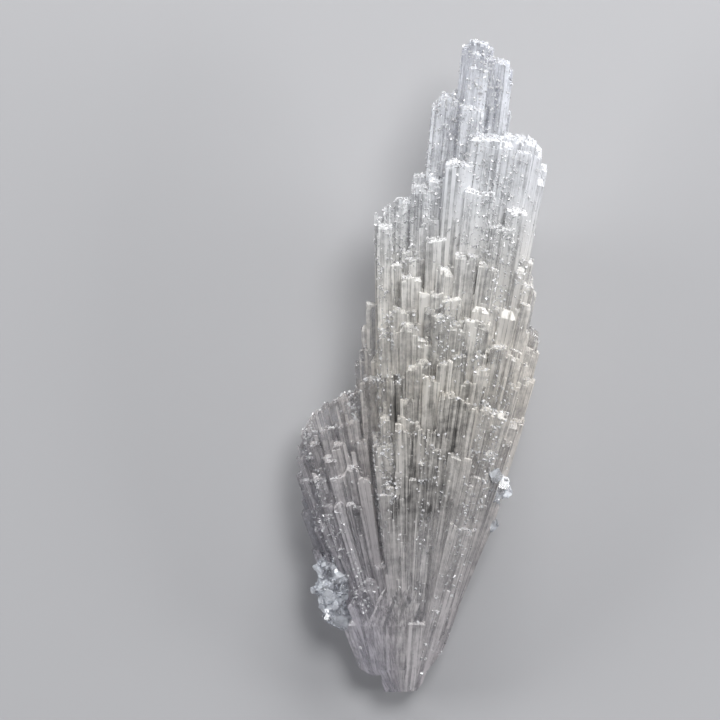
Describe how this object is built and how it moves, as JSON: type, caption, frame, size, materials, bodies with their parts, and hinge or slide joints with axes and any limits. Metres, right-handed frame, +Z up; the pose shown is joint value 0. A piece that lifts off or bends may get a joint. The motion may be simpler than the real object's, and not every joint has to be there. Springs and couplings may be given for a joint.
{
  "type": "scolecite crystal spray",
  "caption": "Fan of slender scolecite prisms spreading from one broken root, with a glassy cluster on its lower side. Lies on a flat back.",
  "frame": {"origin": "under the middle of the bounding box, on the surface the spray lies on", "axes": "+Y from the broken root to the tips, +X to the right as seen from the front, +Z up, out of the front"},
  "size_m": [0.0238, 0.0622, 0.0157],
  "materials": {
    "scolecite": "clear to milky, vitreous, finely striated along the prisms",
    "clear_crystal": "clear, glassy, faint blue"
  },
  "bodies": {
    "root": {"scolecite_spray": "scolecite", "glassy_side_crystals": "clear_crystal"}
  },
  "joints": []
}
